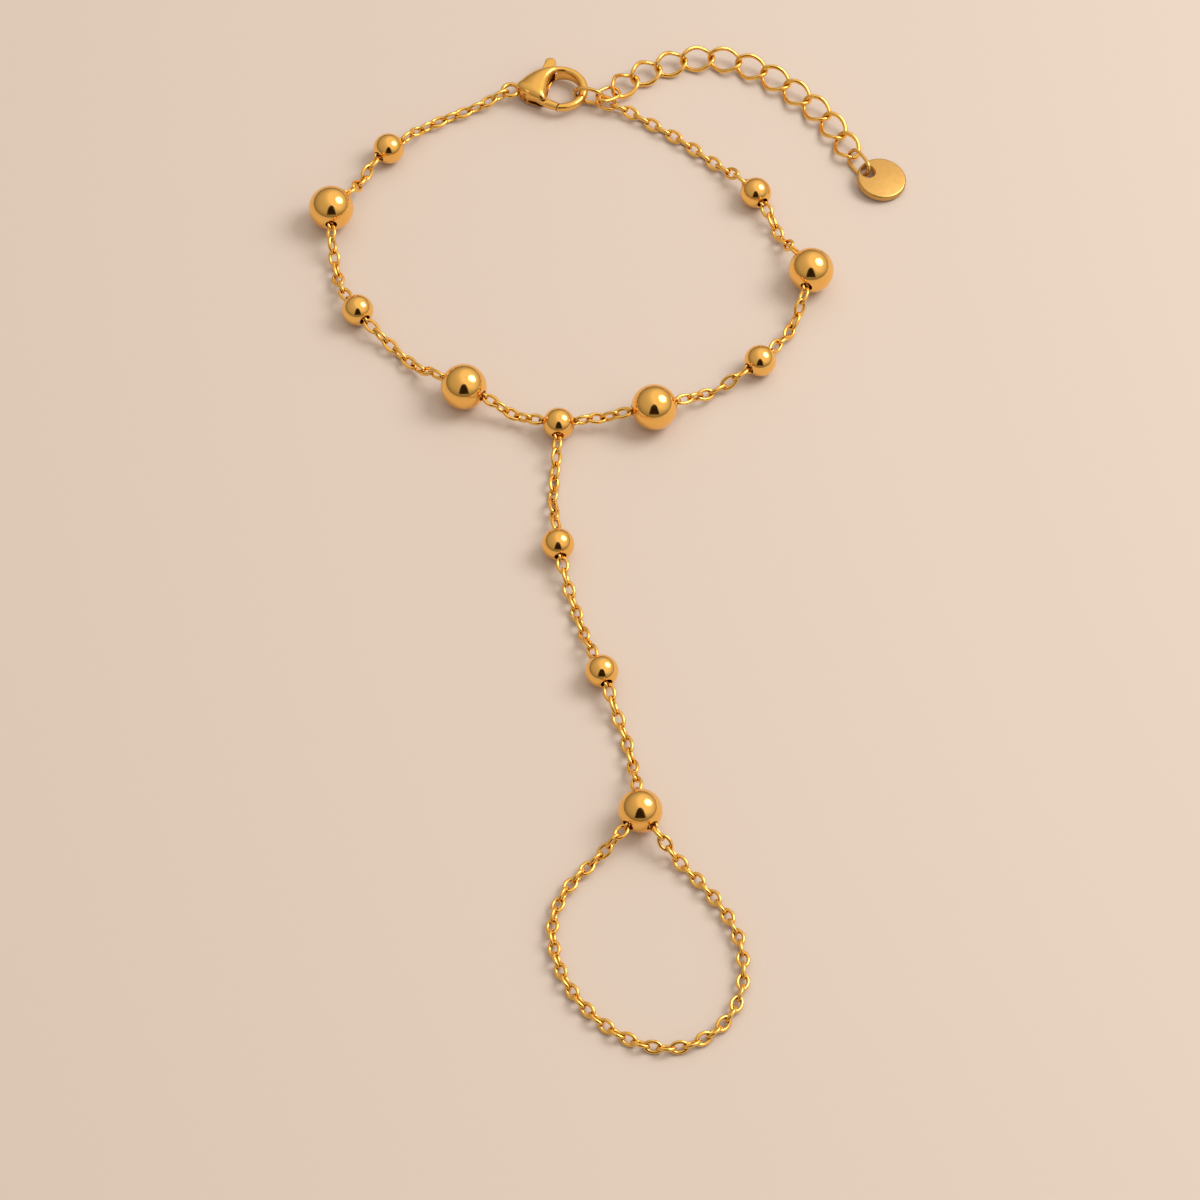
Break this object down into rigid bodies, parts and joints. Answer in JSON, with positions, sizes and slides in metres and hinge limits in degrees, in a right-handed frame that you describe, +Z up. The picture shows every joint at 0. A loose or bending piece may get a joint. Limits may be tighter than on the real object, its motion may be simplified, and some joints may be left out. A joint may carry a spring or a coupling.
{
  "type": "hand chain bracelet",
  "caption": "Beaded hand chain: a wrist loop with a sprung clasp, extender chain and round tag, joined by a hand chain to a finger loop.",
  "frame": {"origin": "on the surface it lies on, in the middle of its extent", "axes": "+X across the hand to the side of the extender chain, +Y along the hand from the finger loop to the wrist, +Z up from the surface"},
  "size_m": [0.0721, 0.1416, 0.0054],
  "materials": {
    "gold_bead": "polished",
    "gold_chain": "polished",
    "gold_clasp": "polished",
    "gold_tag": "satin"
  },
  "bodies": {
    "bracelet": {"bead_wrist_1": "gold_bead", "bead_wrist_2": "gold_bead", "bead_wrist_3": "gold_bead", "bead_wrist_4": "gold_bead", "bead_junction": "gold_bead", "bead_wrist_5": "gold_bead", "bead_wrist_6": "gold_bead", "bead_wrist_7": "gold_bead", "bead_wrist_8": "gold_bead", "bead_hand_1": "gold_bead", "bead_hand_2": "gold_bead", "bead_finger": "gold_bead", "pin_wrist_1": "gold_chain", "pin_wrist_2": "gold_chain", "pin_wrist_3": "gold_chain", "pin_wrist_4": "gold_chain", "pin_junction": "gold_chain", "pin_wrist_5": "gold_chain", "pin_wrist_6": "gold_chain", "pin_wrist_7": "gold_chain", "pin_wrist_8": "gold_chain", "pin_hand_1": "gold_chain", "pin_hand_2": "gold_chain", "pin_finger": "gold_chain", "wrist_chain_1": "gold_chain", "wrist_chain_2": "gold_chain", "wrist_chain_3": "gold_chain", "wrist_chain_4": "gold_chain", "wrist_chain_5": "gold_chain", "wrist_chain_6": "gold_chain", "wrist_chain_7": "gold_chain", "wrist_chain_8": "gold_chain", "wrist_chain_9": "gold_chain", "wrist_chain_10": "gold_chain", "hand_chain_1": "gold_chain", "hand_chain_2": "gold_chain", "hand_chain_3": "gold_chain", "finger_chain": "gold_chain", "extender_chain": "gold_chain", "clasp_body": "gold_clasp", "clasp_rivet": "gold_clasp", "end_ring": "gold_chain", "chain_ring": "gold_chain", "extender_ring": "gold_chain", "tag_ring": "gold_chain", "tag": "gold_tag"},
    "clasp_lever": {"clasp_lever": "gold_clasp"}
  },
  "joints": [
    {"name": "lever_hinge", "type": "hinge", "parent": "bracelet", "child": "clasp_lever", "pos_m": [-0.00985, 0.0629, 0.00145], "axis": [0, 0, 1], "range_deg": [0, 25], "stiffness_Nm_per_rad": 0.002}
  ]
}
